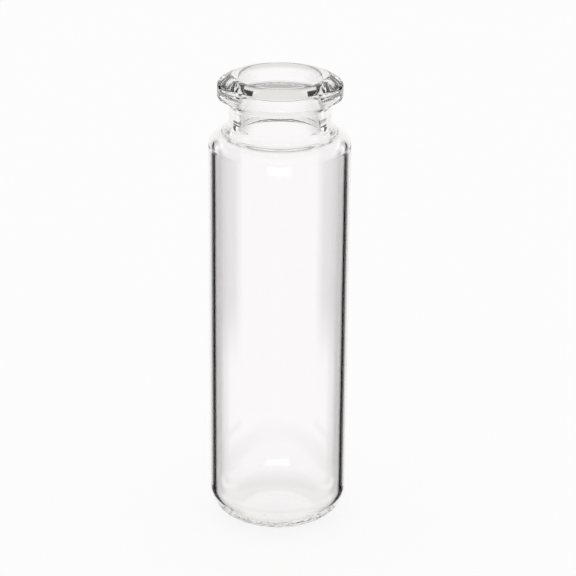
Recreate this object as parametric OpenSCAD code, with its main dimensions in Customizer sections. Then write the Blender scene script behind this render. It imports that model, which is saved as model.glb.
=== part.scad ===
// Glass sample vial with a rounded heel, a short neck and a bevelled crimp lip.
// One piece of glass: every face is a revolve of the same half section about Z.
// Millimetres, +Z up, origin at the centre of the plane that the vial stands on.

/* [Body] */
// Outer diameter of the body
body_d = 22.75; // [20:0.25:30]
// Height from the standing plane to the mouth
height = 75.5; // [40:0.5:120]
// Thickness of the body's wall
wall = 1.0; // [0.6:0.05:1.6]

/* [Base] */
// Radius of the rounded heel, outside
heel_r = 5.0; // [2.5:0.1:5.8]
// Radius of the chamber's bottom corner, inside
heel_inner_r = 4.0; // [1.5:0.1:6]
// Thickness of the base
base_t = 0.85; // [0.7:0.05:2]
// Diameter of the push-up dome under the base
pushup_d = 11.0; // [6:0.1:12.7]
// Height of the push-up dome
pushup_h = 0.45; // [0.3:0.05:1.5]

/* [Shoulder] */
// Radius from the body into the shoulder, outside
shoulder_r = 2.6; // [1:0.1:3.5]
// Radius from the chamber's wall into the shoulder, inside
shoulder_inner_r = 1.6; // [0.8:0.1:1.8]
// Fall of the shoulder from the neck to the body, in degrees
shoulder_fall = 9; // [0:1:20]
// Fall of the chamber's top from the throat to its wall, in degrees
inner_fall = 5; // [0:1:15]
// Drop from the shoulder's inner corner, beside the neck, to the throat's corner
shoulder_t = 1.0; // [0.8:0.05:1.8]

/* [Neck] */
// Outer diameter of the neck
neck_d = 16.2; // [15.6:0.1:17]
// Diameter of the bore through the neck
bore_d = 12.9; // [11:0.1:13.1]
// Height of the neck and lip above the shoulder's outer corner
head_h = 9.3; // [8.5:0.1:14]
// Radius between the neck and the shoulder, outside
neck_r = 1.3; // [0.3:0.1:1.8]
// Radius of the throat, where the bore opens into the chamber
throat_r = 2.4; // [0.3:0.1:2.5]

/* [Crimp lip] */
// Diameter of the lip
lip_d = 20; // [19:0.1:20.5]
// Diameter of the flat face that the stopper seals on
face_d = 15.8; // [15.2:0.1:17]
// Height of the bevel from the face to the lip's side
bevel_h = 1.15; // [0.3:0.05:1.4]
// How far the middle of the bevel swells out from a straight cone
bevel_swell = 0.1; // [0.04:0.02:0.16]
// Height of the lip's side
side_h = 2.1; // [1.6:0.1:3]
// Slope of the lip's underside, in degrees
under_slope = 33; // [10:1:40]
// Radius around the mouth, inside
mouth_r = 0.7; // [0.3:0.1:1.1]
// Radius between the face and the bevel
face_r = 0.7; // [0.1:0.1:0.9]
// Radius between the bevel and the lip's side
bevel_r = 0.9; // [0.2:0.1:1]
// Radius between the lip's side and its underside
side_r = 0.4; // [0.2:0.1:0.8]
// Radius between the lip's underside and the neck
under_r = 0.3; // [0.2:0.1:1]

/* [Hidden] */
$fn = 128;
// Height that the bore's cut runs past the mouth
past = 1;
// How far a corner's cut reaches from its arc's centre, as a multiple of the corner's own distance
cut_reach = 1.25;
// How far an arc stands proud of the two edges that it meets, so that it always crosses them
hair = 0.0001;
// Share of a swollen edge that its bow takes up
bow_share = 0.45;

body_or = body_d / 2;
body_ir = body_or - wall;
neck_or = neck_d / 2;
bore_r = bore_d / 2;
lip_or = lip_d / 2;
face_or = face_d / 2;

// The push-up is a shallow cap of a sphere, and the chamber's floor is a cap about the same centre
pushup_r = (pow(pushup_d / 2, 2) + pow(pushup_h, 2)) / (2 * pushup_h);
pushup_z = pushup_h - pushup_r;

// Corners of the shoulder, outside and inside, before they are rounded
shoulder_z = height - head_h;
neck_z = shoulder_z + (body_or - neck_or) * tan(shoulder_fall);
throat_z = neck_z - shoulder_t;
chamber_top_z = throat_z - (body_ir - bore_r) * tan(inner_fall);

// Corners of the lip before they are rounded
bevel_z = height - bevel_h;
side_z = bevel_z - side_h;
under_z = side_z - (lip_or - neck_or) * tan(under_slope);

// One more corner in the middle of an edge, which bends the edge outwards into a low bow
function bow(from, to, swell) =
    let (edge = to - from, half = norm(edge) / 2, middle = (from + to) / 2)
    concat(middle + [edge[1], -edge[0]] * swell / norm(edge), bow_share * half / tan(atan2(swell, half)));

// Each corner of a half section is [radius from the axis, height, rounding]
OUTSIDE = [
    [0, 0, 0],
    [body_or, 0, heel_r],
    [body_or, shoulder_z, shoulder_r],
    [neck_or, neck_z, neck_r],
    [neck_or, under_z, under_r],
    [lip_or, side_z, side_r],
    [lip_or, bevel_z, bevel_r],
    bow([lip_or, bevel_z], [face_or, height], bevel_swell),
    [face_or, height, face_r],
    [0, height, 0]
];
INSIDE = [
    [0, base_t, 0],
    [body_ir, base_t, heel_inner_r],
    [body_ir, chamber_top_z, shoulder_inner_r],
    [bore_r, throat_z, throat_r],
    [bore_r, height, mouth_r],
    [face_or, height, 0],
    [face_or, height + past, 0],
    [0, height + past, 0]
];

function toward(from, to) = (to - from) / norm(to - from);

// The corner with this number, with the corners before and after it
function corner_points(corners, i) =
    let (count = len(corners))
    [for (step = [count - 1, count, count + 1]) [for (axis = [0, 1]) corners[(i + step) % count][axis]]];
function turns_inward(points) = cross(points[1] - points[0], points[2] - points[1]) < 0;

// The arc that rounds a corner: half the angle between its edges, its centre and its two ends
function half_angle(points) = acos(toward(points[1], points[0]) * toward(points[1], points[2])) / 2;
function arc_centre(points, r) =
    points[1] + toward([0, 0], toward(points[1], points[0]) + toward(points[1], points[2])) * r / sin(half_angle(points));
function arc_ends(points, r) =
    [for (end = [points[0], points[2]]) points[1] + toward(points[1], end) * r / tan(half_angle(points))];

// What an arc cuts away at an outward corner, run on past the corner so that no two edges lie together
module corner_cut(points, r) {
    centre = arc_centre(points, r);
    ends = arc_ends(points, r);
    difference() {
        polygon([for (point = [centre, ends[0], points[1], ends[1]]) centre + (point - centre) * cut_reach]);
        translate(centre) circle(r + hair);
    }
}

// A half section with its corners rounded. An inward corner is first filled to a chamfer between the
// arc's ends, and the arc's full circle is cut from that.
module half_section(corners) {
    last = len(corners) - 1;
    difference() {
        polygon([
            for (i = [0 : last])
                let (points = corner_points(corners, i), r = corners[i][2])
                each r > 0 && turns_inward(points) ? arc_ends(points, r) : [points[1]]
        ]);
        for (i = [0 : last]) {
            points = corner_points(corners, i);
            r = corners[i][2];
            if (r > 0 && turns_inward(points)) translate(arc_centre(points, r)) circle(r + hair);
            if (r > 0 && !turns_inward(points)) corner_cut(points, r);
        }
    }
}

// The space inside: chamber, throat, bore and mouth, over a floor that follows the push-up
module space() {
    difference() {
        half_section(INSIDE);
        translate([0, pushup_z]) circle(pushup_r + base_t);
    }
}

module vial() {
    color([0.86, 0.89, 0.88, 0.35])
        rotate_extrude()
            difference() {
                half_section(OUTSIDE);
                translate([0, pushup_z]) circle(pushup_r);
                space();
            }
}

vial();
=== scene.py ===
from math import atan2, ceil, cos, pi, radians, sin, sqrt, tan

import bpy
from mathutils import Matrix, Vector


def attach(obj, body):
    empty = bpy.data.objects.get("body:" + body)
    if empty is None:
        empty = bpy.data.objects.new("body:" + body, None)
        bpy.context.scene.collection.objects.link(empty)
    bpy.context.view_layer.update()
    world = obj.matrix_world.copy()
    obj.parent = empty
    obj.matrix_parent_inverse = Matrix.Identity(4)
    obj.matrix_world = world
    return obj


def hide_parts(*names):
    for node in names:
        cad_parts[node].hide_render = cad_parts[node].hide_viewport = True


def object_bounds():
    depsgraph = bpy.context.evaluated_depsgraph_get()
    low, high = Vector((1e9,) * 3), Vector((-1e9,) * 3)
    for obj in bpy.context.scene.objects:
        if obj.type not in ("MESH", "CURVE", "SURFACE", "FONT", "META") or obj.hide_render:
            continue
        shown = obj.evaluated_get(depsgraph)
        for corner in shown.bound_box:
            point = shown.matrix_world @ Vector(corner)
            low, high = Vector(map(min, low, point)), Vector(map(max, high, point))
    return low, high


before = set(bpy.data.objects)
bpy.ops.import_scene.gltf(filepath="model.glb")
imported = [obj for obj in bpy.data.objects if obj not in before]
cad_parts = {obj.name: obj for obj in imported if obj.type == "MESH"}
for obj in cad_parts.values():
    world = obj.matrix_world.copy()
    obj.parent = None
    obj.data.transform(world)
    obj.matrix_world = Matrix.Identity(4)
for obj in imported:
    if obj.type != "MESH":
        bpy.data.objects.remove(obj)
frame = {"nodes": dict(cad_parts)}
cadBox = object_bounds()
mm = 0.001
vialHeight = cadBox[1].z
bodyRadius = (cadBox[1].x - cadBox[0].x) / 2
print("frame loaded:", ", ".join(frame["nodes"]))


class Wire:
    # One socket of a node tree. Sums on wires add their Math nodes.
    def __init__(self, tree, socket=None):
        self.tree = tree
        self.socket = socket

    def make(self, kind, settings=None, inputs=None, output=0):
        node = self.tree.nodes.new(kind)
        for name, value in (settings or {}).items():
            setattr(node, name, value)
        for name, value in (inputs or {}).items():
            if isinstance(value, Wire):
                self.tree.links.new(value.socket, node.inputs[name])
            else:
                node.inputs[name].default_value = value
        return Wire(self.tree, node.outputs[output]) if node.outputs else Wire(self.tree)

    def out(self, name):
        return Wire(self.tree, self.socket.node.outputs[name])

    def math(self, operation, *values):
        return self.make("ShaderNodeMath", {"operation": operation}, dict(enumerate(values)))

    def __add__(self, other):
        return self.math("ADD", self, other)

    def __radd__(self, other):
        return self.math("ADD", other, self)

    def __sub__(self, other):
        return self.math("SUBTRACT", self, other)

    def __rsub__(self, other):
        return self.math("SUBTRACT", other, self)

    def __mul__(self, other):
        return self.math("MULTIPLY", self, other)

    def __rmul__(self, other):
        return self.math("MULTIPLY", other, self)

    def __abs__(self):
        return self.math("ABSOLUTE", self)

    def rise(self, start, end):
        # 0 up to start, 1 from end on, smooth between them
        return self.make("ShaderNodeMapRange", {"interpolation_type": "SMOOTHSTEP"},
                         {"Value": self, "From Min": start, "From Max": end})

    def band(self, start, end, soft):
        return self.rise(start - soft, start + soft) * (1 - self.rise(end - soft, end + soft))

    def stretched(self, scale):
        return self.make("ShaderNodeVectorMath", {"operation": "MULTIPLY"}, {0: self, 1: scale})

    def noise(self, scale, detail):
        return self.make("ShaderNodeTexNoise", {}, {"Vector": self, "Scale": scale,
                                                    "Detail": detail})

    def blend(self, first, second):
        # colours: first where this wire is 0, second where it is 1
        return self.make("ShaderNodeMix", {"data_type": "RGBA"},
                         {0: self, 6: first, 7: second}, output=2)


# sizes of the glass in mm, its outline as corners of (radius, height, rounding)
vialSizes = dict(
    wall=1.0, heel=5.0, heelInside=4.0, baseThickness=0.81,
    pushUpWidth=11.5, pushUpHeight=0.35, ringRounding=6.0,
    innerRise=0.3, innerWidth=12.0, innerRounding=6.0,
    shoulder=2.6, shoulderInside=1.6, shoulderFall=9.0, insideFall=5.0, shoulderThickness=0.98,
    neckWidth=16.28, boreWidth=13.0, headHeight=8.8, neckFillet=1.26, throat=2.53,
    lipWidth=20, faceWidth=15.78, faceRise=0.05, bevelHeight=1.12, sideHeight=2.13,
    bevelSwell=0.11, underSlope=33,
    mouth=1.0, faceEdge=0.79, bevelEdge=0.85, sideEdge=0.36, underFillet=0.32,
    # rings: degrees between them on an arc, mm from the end of a straight stretch, and mm along it
    arcStep=4.5, nearEnd=0.15, longestStep=2.0, segments=240, hub=1.0,
)

# how far the formed glass strays from a true turning, in mm: ripples on the front of the heel,
# which fade out from a share of their top height up to it, and a slow sway all over. The scales
# are those of Noise Texture, in metres
unevenness = dict(
    ripple=0.12, rippleTop=2.6, rippleFrom=9.2, rippleTo=10.8, rippleSoft=0.4, rippleScale=900.0,
    fadeFrom=0.35, frontFrom=2, frontTo=6, seed=3.0, sway=0.006, swayScale=90.0, swaySeed=7.0,
    weld=0.001,
)


def domeCorners(rise, reach, foot, rounding, count=5):
    # points of a low dome about the axis, from its top out to its foot
    radius = (reach ** 2 + rise ** 2) / (2 * rise)
    steps = [reach * i / count for i in range(count)]
    dome = [(r, foot + rise - radius + sqrt(radius ** 2 - r ** 2), 0) for r in steps]
    return dome + [(reach, foot, rounding)]


def swollen(start, end, swell, share=0.45):
    # one more corner in the middle of an edge, which bends it into a low bow
    start, end = Vector(start[:2]), Vector(end[:2])
    edge = end - start
    middle = (start + end) / 2 + Vector((edge.y, -edge.x)).normalized() * swell
    half = edge.length / 2
    return (middle.x, middle.y, share * half / tan(atan2(swell, half)))


def outlineCorners(s):
    height = vialHeight / mm
    body = bodyRadius / mm
    bodyInside = body - s["wall"]
    neck, bore = s["neckWidth"] / 2, s["boreWidth"] / 2
    lip, face = s["lipWidth"] / 2, s["faceWidth"] / 2
    fall, insideFall = tan(radians(s["shoulderFall"])), tan(radians(s["insideFall"]))
    shoulderTop = height - s["headHeight"]
    shoulderInsideTop = shoulderTop - s["shoulderThickness"]
    bevel = height - s["bevelHeight"]
    side = bevel - s["sideHeight"]
    under = side - (lip - neck) * tan(radians(s["underSlope"]))
    half, innerHalf = s["pushUpWidth"] / 2, s["innerWidth"] / 2
    floor = s["baseThickness"]
    outside = domeCorners(s["pushUpHeight"], half, 0, s["ringRounding"])
    outside += [
        (body, 0, s["heel"]),
        (body, shoulderTop - (body - neck) * fall, s["shoulder"]),
        (neck, shoulderTop, s["neckFillet"]),
        (neck, under, s["underFillet"]),
        (lip, side, s["sideEdge"]),
        (lip, bevel, s["bevelEdge"]),
        swollen((lip, bevel), (face, height), s["bevelSwell"]),
        (face, height, s["faceEdge"]),
    ]
    inside = domeCorners(s["innerRise"], innerHalf, floor, s["innerRounding"])
    inside += [
        (bodyInside, floor, s["heelInside"]),
        (bodyInside, shoulderInsideTop - (bodyInside - bore) * insideFall, s["shoulderInside"]),
        (bore, shoulderInsideTop, s["throat"]),
        (bore, height + s["faceRise"], s["mouth"]),
    ]
    return outside + inside[::-1]


def roundCorner(before, corner, after, rounding, step):
    # points of the arc that rounds one corner
    toBefore, toAfter = (before - corner).normalized(), (after - corner).normalized()
    turn = pi - toBefore.angle(toAfter)
    reach = rounding * tan(turn / 2)
    start, end = corner + toBefore * reach, corner + toAfter * reach
    centre = corner + (toBefore + toAfter).normalized() * (rounding / cos(turn / 2))
    count = max(4, ceil(turn / step))
    arm = start - centre
    side = 1 if arm.x * (end - centre).y - arm.y * (end - centre).x > 0 else -1
    return [centre + Matrix.Rotation(side * turn * i / count, 2) @ arm for i in range(count + 1)]


def spread(points, near, longest):
    # rings on the straight stretches: close to their ends first, then evenly
    result = [points[0]]
    for a, b in zip(points, points[1:]):
        length = (b - a).length
        inset = min(near, length / 3)
        places = [0]
        if length > 2 * near:
            places += [inset, 3 * inset] if length > 8 * near else [inset]
            rest = length - 2 * places[-1]
            count = ceil(rest / longest)
            places += [places[-1] + rest * i / count for i in range(1, count)]
            places += [length - p for p in ([3 * inset, inset] if length > 8 * near else [inset])]
        result += [a.lerp(b, p / length) for p in places[1:]] + [b]
    return result


def outlinePoints(s):
    corners = outlineCorners(s)
    places = [Vector(c[:2]) for c in corners]
    points = []
    for i, corner in enumerate(corners):
        if corner[2] and 0 < i < len(corners) - 1:
            points += roundCorner(places[i - 1], places[i], places[i + 1], corner[2],
                                  radians(s["arcStep"]))
        else:
            points.append(places[i])
    return spread(points, s["nearEnd"], s["longestStep"])


# turns the outline round the axis, then lets the glass be a little uneven
def turningTree():
    u = unevenness
    tree = bpy.data.node_groups.new("turnedGlass", "GeometryNodeTree")
    ports = tree.interface
    ports.new_socket(name="Geometry", in_out="OUTPUT", socket_type="NodeSocketGeometry")
    ports.new_socket(name="Geometry", in_out="INPUT", socket_type="NodeSocketGeometry")
    for name, kind in [("Segments", "Int"), ("Hub", "Float"), ("Ripple", "Float"),
                       ("Ripple Top", "Float"), ("Ripple From", "Float"), ("Ripple To", "Float"),
                       ("Ripple Scale", "Float"), ("Seed", "Float"), ("Sway", "Float"),
                       ("Glass", "Material")]:
        ports.new_socket(name=name, in_out="INPUT", socket_type="NodeSocket" + kind)
    start = Wire(tree).make("NodeGroupInput")
    place = start.make("GeometryNodeInputPosition")
    parts = start.make("ShaderNodeSeparateXYZ", {}, {0: place})
    outline = start.make("GeometryNodeMeshToCurve", {}, {"Mesh": start.out("Geometry")})
    ring = start.make("GeometryNodeCurvePrimitiveCircle", {},
                      {"Resolution": start.out("Segments"), "Radius": start.out("Hub")})
    ring = start.make("GeometryNodeSetCurveNormal", {"mode": "Z_UP"}, {"Curve": ring})
    # the outline's X runs out from the hub ring and its Y runs down
    flat = start.make("ShaderNodeCombineXYZ", {},
                      {0: parts.out("X") - start.out("Hub"), 1: 0 - parts.out("Z")})
    outline = start.make("GeometryNodeSetPosition", {}, {"Geometry": outline, "Position": flat})
    shell = start.make("GeometryNodeCurveToMesh", {}, {"Curve": ring, "Profile Curve": outline})
    shell = start.make("GeometryNodeMergeByDistance", {}, {"Geometry": shell, "Distance": u["weld"] * mm})
    # ripples that the forming left round the front of the heel
    away = parts.out("X") * parts.out("X") + parts.out("Y") * parts.out("Y")
    away = start.math("SQRT", away)
    ripple = start.make("ShaderNodeTexNoise", {"noise_dimensions": "4D"},
                        {"W": start.out("Seed"), "Scale": start.out("Ripple Scale"),
                         "Detail": 1.0})
    low = 1 - parts.out("Z").rise(u["fadeFrom"] * start.out("Ripple Top"), start.out("Ripple Top"))
    ringed = away.band(start.out("Ripple From"), start.out("Ripple To"), u["rippleSoft"] * mm)
    front = (parts.out("X") - parts.out("Y")).rise(u["frontFrom"] * mm, u["frontTo"] * mm)
    reach = (ripple.out("Fac") - 0.5) * low * ringed * front * start.out("Ripple")
    sway = start.make("ShaderNodeTexNoise", {"noise_dimensions": "4D"},
                      {"W": start.out("Seed") + u["swaySeed"], "Scale": u["swayScale"],
                       "Detail": 0.0})
    reach = reach + (sway.out("Fac") - 0.5) * start.out("Sway")
    normal = start.make("GeometryNodeInputNormal")
    push = start.make("ShaderNodeVectorMath", {"operation": "SCALE"},
                      {0: normal, "Scale": reach})
    shell = start.make("GeometryNodeSetPosition", {}, {"Geometry": shell, "Offset": push})
    shell = start.make("GeometryNodeSetShadeSmooth", {}, {"Geometry": shell})
    shell = start.make("GeometryNodeRealizeInstances", {}, {"Geometry": shell})
    shell = start.make("GeometryNodeSetMaterial", {},
                       {"Geometry": shell, "Material": start.out("Glass")})
    shell.make("NodeGroupOutput", {}, {0: shell})
    return tree


def setInputs(modifier, values):
    for item in modifier.node_group.interface.items_tree:
        if item.in_out == "INPUT" and item.name in values:
            modifier[item.identifier] = values[item.name]


def turnVial(material):
    s = vialSizes
    points = outlinePoints(s)
    mesh = bpy.data.meshes.new("outline")
    mesh.from_pydata([(p.x * mm, 0, p.y * mm) for p in points],
                     [(i, i + 1) for i in range(len(points) - 1)], [])
    outline = bpy.data.objects.new("outline", mesh)
    bpy.context.scene.collection.objects.link(outline)
    modifier = outline.modifiers.new("turn", "NODES")
    modifier.node_group = turningTree()
    u = unevenness
    setInputs(modifier, {
        "Segments": s["segments"], "Hub": s["hub"] * mm, "Ripple": u["ripple"] * mm,
        "Ripple Top": u["rippleTop"] * mm, "Ripple From": u["rippleFrom"] * mm,
        "Ripple To": u["rippleTo"] * mm, "Ripple Scale": u["rippleScale"], "Seed": u["seed"],
        "Sway": u["sway"] * mm, "Glass": material})
    graph = bpy.context.evaluated_depsgraph_get()
    shell = bpy.data.meshes.new_from_object(outline.evaluated_get(graph))
    bpy.data.objects.remove(outline)
    shell.name = "vialGlass"
    vial = bpy.data.objects.new("vialGlass", shell)
    bpy.context.scene.collection.objects.link(vial)
    if signedVolume(shell) < 0:
        shell.flip_normals()
    print("vial turned:", len(points), "rings,", len(shell.polygons), "faces")
    return vial


def signedVolume(mesh):
    total = 0
    mesh.calc_loop_triangles()
    for triangle in mesh.loop_triangles:
        a, b, c = (mesh.vertices[i].co for i in triangle.vertices)
        total += a.dot(b.cross(c)) / 6
    return total


# drawn glass tube: faint lines along the body, rings that the rollers left round the neck, a
# little haze, and the cool tint that shows where the light has a long way through the lip
glassFinish = dict(
    ior=1.5, bright=(1.0, 1.0, 1.0, 1), warm=(0.997, 0.996, 0.993, 1), patches=90.0,
    tint=(0.6, 0.88, 0.64, 1), tintDensity=3.5,
    drawLine=0.0006, drawLines=(520.0, 520.0, 9.0),
    ring=0.0035, rings=(70.0, 70.0, 1600.0), ringsFrom=0.82, ringsTo=0.97,
    ringsSoft=2 * mm,
    mark=0.07, markScale=1200.0, marksFrom=0.9 * mm, marksTo=2.4 * mm, marksSoft=0.3 * mm,
    markEdges=(0.52, 0.62), markFront=(3 * mm, 7 * mm),
    haze=0.04, lipHaze=0.045, lipFrom=0.95, lipSoft=0.01, hazeScale=240.0, hazeEdges=(0.45, 0.75),
    shadow=(0.9, 0.92, 0.91, 1),
)


def clearGlass():
    f = glassFinish
    material = bpy.data.materials.new("clearGlass")
    material.use_nodes = True
    tree = material.node_tree
    tree.nodes.clear()
    start = Wire(tree)
    place = start.make("ShaderNodeTexCoord").out("Object")
    drawn = place.stretched(f["drawLines"]).noise(1.0, 3.0)
    rings = place.stretched(f["rings"]).noise(1.0, 2.0)
    parts = start.make("ShaderNodeSeparateXYZ", {}, {0: place})
    height = parts.out("Z")
    atNeck = height.band(f["ringsFrom"] * vialHeight, f["ringsTo"] * vialHeight,
                         f["ringsSoft"])
    proud = (drawn * (1 - atNeck) * f["drawLine"]) + (rings * atNeck * f["ring"])   # in mm
    # marks that the forming left round the front of the heel
    front = (parts.out("X") - parts.out("Y")).rise(*f["markFront"])
    marks = place.noise(f["markScale"], 1.0).rise(*f["markEdges"]) * front
    marks = marks * height.band(f["marksFrom"], f["marksTo"], f["marksSoft"])
    proud = proud + marks * f["mark"]
    uneven = start.make("ShaderNodeBump", {}, {"Strength": 1.0, "Distance": mm, "Height": proud})
    atLip = height.rise((f["lipFrom"] - f["lipSoft"]) * vialHeight,
                        (f["lipFrom"] + f["lipSoft"]) * vialHeight)
    haze = place.noise(f["hazeScale"], 4.0).rise(*f["hazeEdges"]) * f["haze"]
    haze = haze + atLip * f["lipHaze"]
    colour = place.noise(f["patches"], 2.0).blend(f["bright"], f["warm"])
    glass = start.make("ShaderNodeBsdfPrincipled", {}, {
        "Base Color": colour, "Roughness": haze, "Normal": uneven,
        "IOR": f["ior"], "Transmission Weight": 1.0})
    clear = start.make("ShaderNodeBsdfTransparent", {}, {"Color": f["shadow"]})
    shade = start.make("ShaderNodeLightPath").out("Is Shadow Ray")
    surface = start.make("ShaderNodeMixShader", {}, {0: shade, 1: glass, 2: clear})
    inside = start.make("ShaderNodeVolumeAbsorption", {},
                        {"Color": f["tint"], "Density": f["tintDensity"]})
    start.make("ShaderNodeOutputMaterial", {}, {"Surface": surface, "Volume": inside})
    return material


# the studio round the vial: bright all round, then soft panels painted over it in this order,
# each with its turn in degrees to either side of straight behind the vial, its height above the
# horizon, its soft edges and its light. A panel with a lean stands further out the lower it reaches.
# The flags are dark cards that draw the lines along the glass, and the windows its highlights.
# Rays straight from the camera see one plain pale tone instead
studio = dict(
    room=(0.9, 0.88, 0.88), seen=0.984, plain=1.0, leanStart=-27, bounces=24,
    panels=[
        dict(name="ceiling", turn=(-90, 270), height=(45, 120), soft=(5, 4),
             light=(0.5, 0.48, 0.47)),
        dict(name="bench", turn=(-90, 270), height=(-120, -37), soft=(5, 1),
             light=(0.8, 0.78, 0.76)),
        dict(name="benchFront", turn=(50, 270), height=(-40, -25), soft=(15, 1),
             light=(0.35, 0.35, 0.33)),
        dict(name="flagHigh", turn=(32, 72), height=(-14, 20), soft=(2, 1),
             light=(0, 0, 0)),
        dict(name="flagSide", turn=(70, 105), height=(-22, -8), soft=(2, 1),
             light=(0, 0, 0)),
        dict(name="flagLow", turn=(27, 70), height=(-50, -17), soft=(4, 0.3),
             light=(0, 0, 0), lean=2),
        dict(name="sheet", turn=(-90, 12), height=(-26, 10), soft=(10, 2),
             light=(0.98, 0.96, 0.97)),
        dict(name="glow", turn=(46, 58), height=(-16, 40), soft=(2, 3),
             light=(1.3, 1.3, 1.3)),
        dict(name="window", turn=(160, 270), height=(-18, -17.7), soft=(2, 0.05),
             light=(3, 3, 3)),
        dict(name="baseWindow", turn=(160, 270), height=(-25.2, -25.1), soft=(2, 0.04),
             light=(3, 3, 3)),
    ],
)


def studioWorld():
    s = studio
    world = bpy.data.worlds.new("studio")
    bpy.context.scene.world = world
    world.use_nodes = True
    tree = world.node_tree
    tree.nodes.clear()
    start = Wire(tree)
    way = start.make("ShaderNodeVectorRotate", {"rotation_type": "Z_AXIS"}, {
        "Vector": start.make("ShaderNodeTexCoord").out("Generated"),
        "Angle": -radians(cameraSizes["azimuth"])})
    parts = start.make("ShaderNodeSeparateXYZ", {}, {0: way})
    turn = start.math("ARCTAN2", parts.out("X"), parts.out("Y")) * (180 / pi)
    height = start.math("ARCSINE", parts.out("Z")) * (180 / pi)
    low = start.math("MAXIMUM", s["leanStart"] - height, 0.0)
    lights = start.make("ShaderNodeLightPath")
    colour = (*s["room"], 1)
    for panel in s["panels"]:
        mask = ((abs(turn) - low * panel.get("lean", 0.0)).band(*panel["turn"], panel["soft"][0])
                * height.band(*panel["height"], panel["soft"][1]))
        colour = mask.blend(colour, (*panel["light"], 1))
    colour = lights.out("Is Diffuse Ray").blend(colour, (s["plain"],) * 3 + (1,))
    colour = lights.out("Is Camera Ray").blend(colour, (s["seen"],) * 3 + (1,))
    sky = start.make("ShaderNodeBackground", {}, {"Color": colour, "Strength": 1.0})
    start.make("ShaderNodeOutputWorld", {}, {"Surface": sky})
    bpy.context.scene.cycles.max_bounces = s["bounces"]   # light turns many times in the lip
    bpy.context.scene.cycles.transmission_bounces = s["bounces"]
    bpy.context.scene.cycles.glossy_bounces = s["bounces"]
    print("studio lit:", ", ".join(panel["name"] for panel in s["panels"]))


# a pale sheet that mostly glows by itself, so that only a soft shadow shows on it
floorSizes = dict(reach=6.0, drop=0.05 * mm, paper=(0.94, 0.94, 0.94, 1), glow=0.99, glowShare=0.85)


def floorSheet():
    mesh = bpy.data.meshes.new("floor")
    size = floorSizes["reach"]
    drop = -floorSizes["drop"]
    mesh.from_pydata([(-size, -size, drop), (size, -size, drop), (size, size, drop),
                      (-size, size, drop)], [], [(0, 1, 2, 3)])
    floor = bpy.data.objects.new("floor", mesh)
    bpy.context.scene.collection.objects.link(floor)
    material = bpy.data.materials.new("paper")
    material.use_nodes = True
    tree = material.node_tree
    tree.nodes.clear()
    start = Wire(tree)
    paper = start.make("ShaderNodeBsdfDiffuse", {}, {"Color": floorSizes["paper"]})
    glow = start.make("ShaderNodeEmission", {}, {"Color": (1, 1, 1, 1),
                                                  "Strength": floorSizes["glow"]})
    both = start.make("ShaderNodeMixShader", {}, {0: floorSizes["glowShare"], 1: paper, 2: glow})
    start.make("ShaderNodeOutputMaterial", {}, {"Surface": both})
    mesh.materials.append(material)
    floor.visible_transmission = False
    floor.visible_glossy = False
    print("floor laid")


# lens and sensor in mm, angles in degrees, and the shift in pixels of the frame's width
cameraSizes = dict(
    azimuth=45, elevation=21.15, roll=0.398, distance=382.7 * mm, lens=146.5, sensor=36,
    frameWidth=576, shiftX=9.24, shiftY=11.0, nearest=0.01, farthest=50,
)


def placeCamera():
    s = cameraSizes
    data = bpy.data.cameras.new("camera")
    camera = bpy.data.objects.new("camera", data)
    bpy.context.scene.collection.objects.link(camera)
    data.lens = s["lens"]
    data.sensor_width = s["sensor"]
    data.shift_x = s["shiftX"] / s["frameWidth"]
    data.shift_y = s["shiftY"] / s["frameWidth"]
    data.clip_start = s["nearest"]
    data.clip_end = s["farthest"]
    tilt = radians(s["elevation"])
    turn = radians(s["azimuth"])
    back = Vector((sin(turn) * cos(tilt), -cos(turn) * cos(tilt), sin(tilt)))
    camera.location = Vector((0, 0, vialHeight / 2)) + back * s["distance"]
    level = (-back).to_track_quat("-Z", "Y").to_matrix()
    camera.rotation_euler = (level @ Matrix.Rotation(radians(s["roll"]), 3, "Z")).to_euler()
    bpy.context.scene.camera = camera
    print("camera placed")


placeCamera()
glassMaterial = clearGlass()
vial = turnVial(glassMaterial)
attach(vial, "root")
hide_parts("vial")
studioWorld()
floorSheet()
bpy.context.scene.view_settings.view_transform = "Standard"
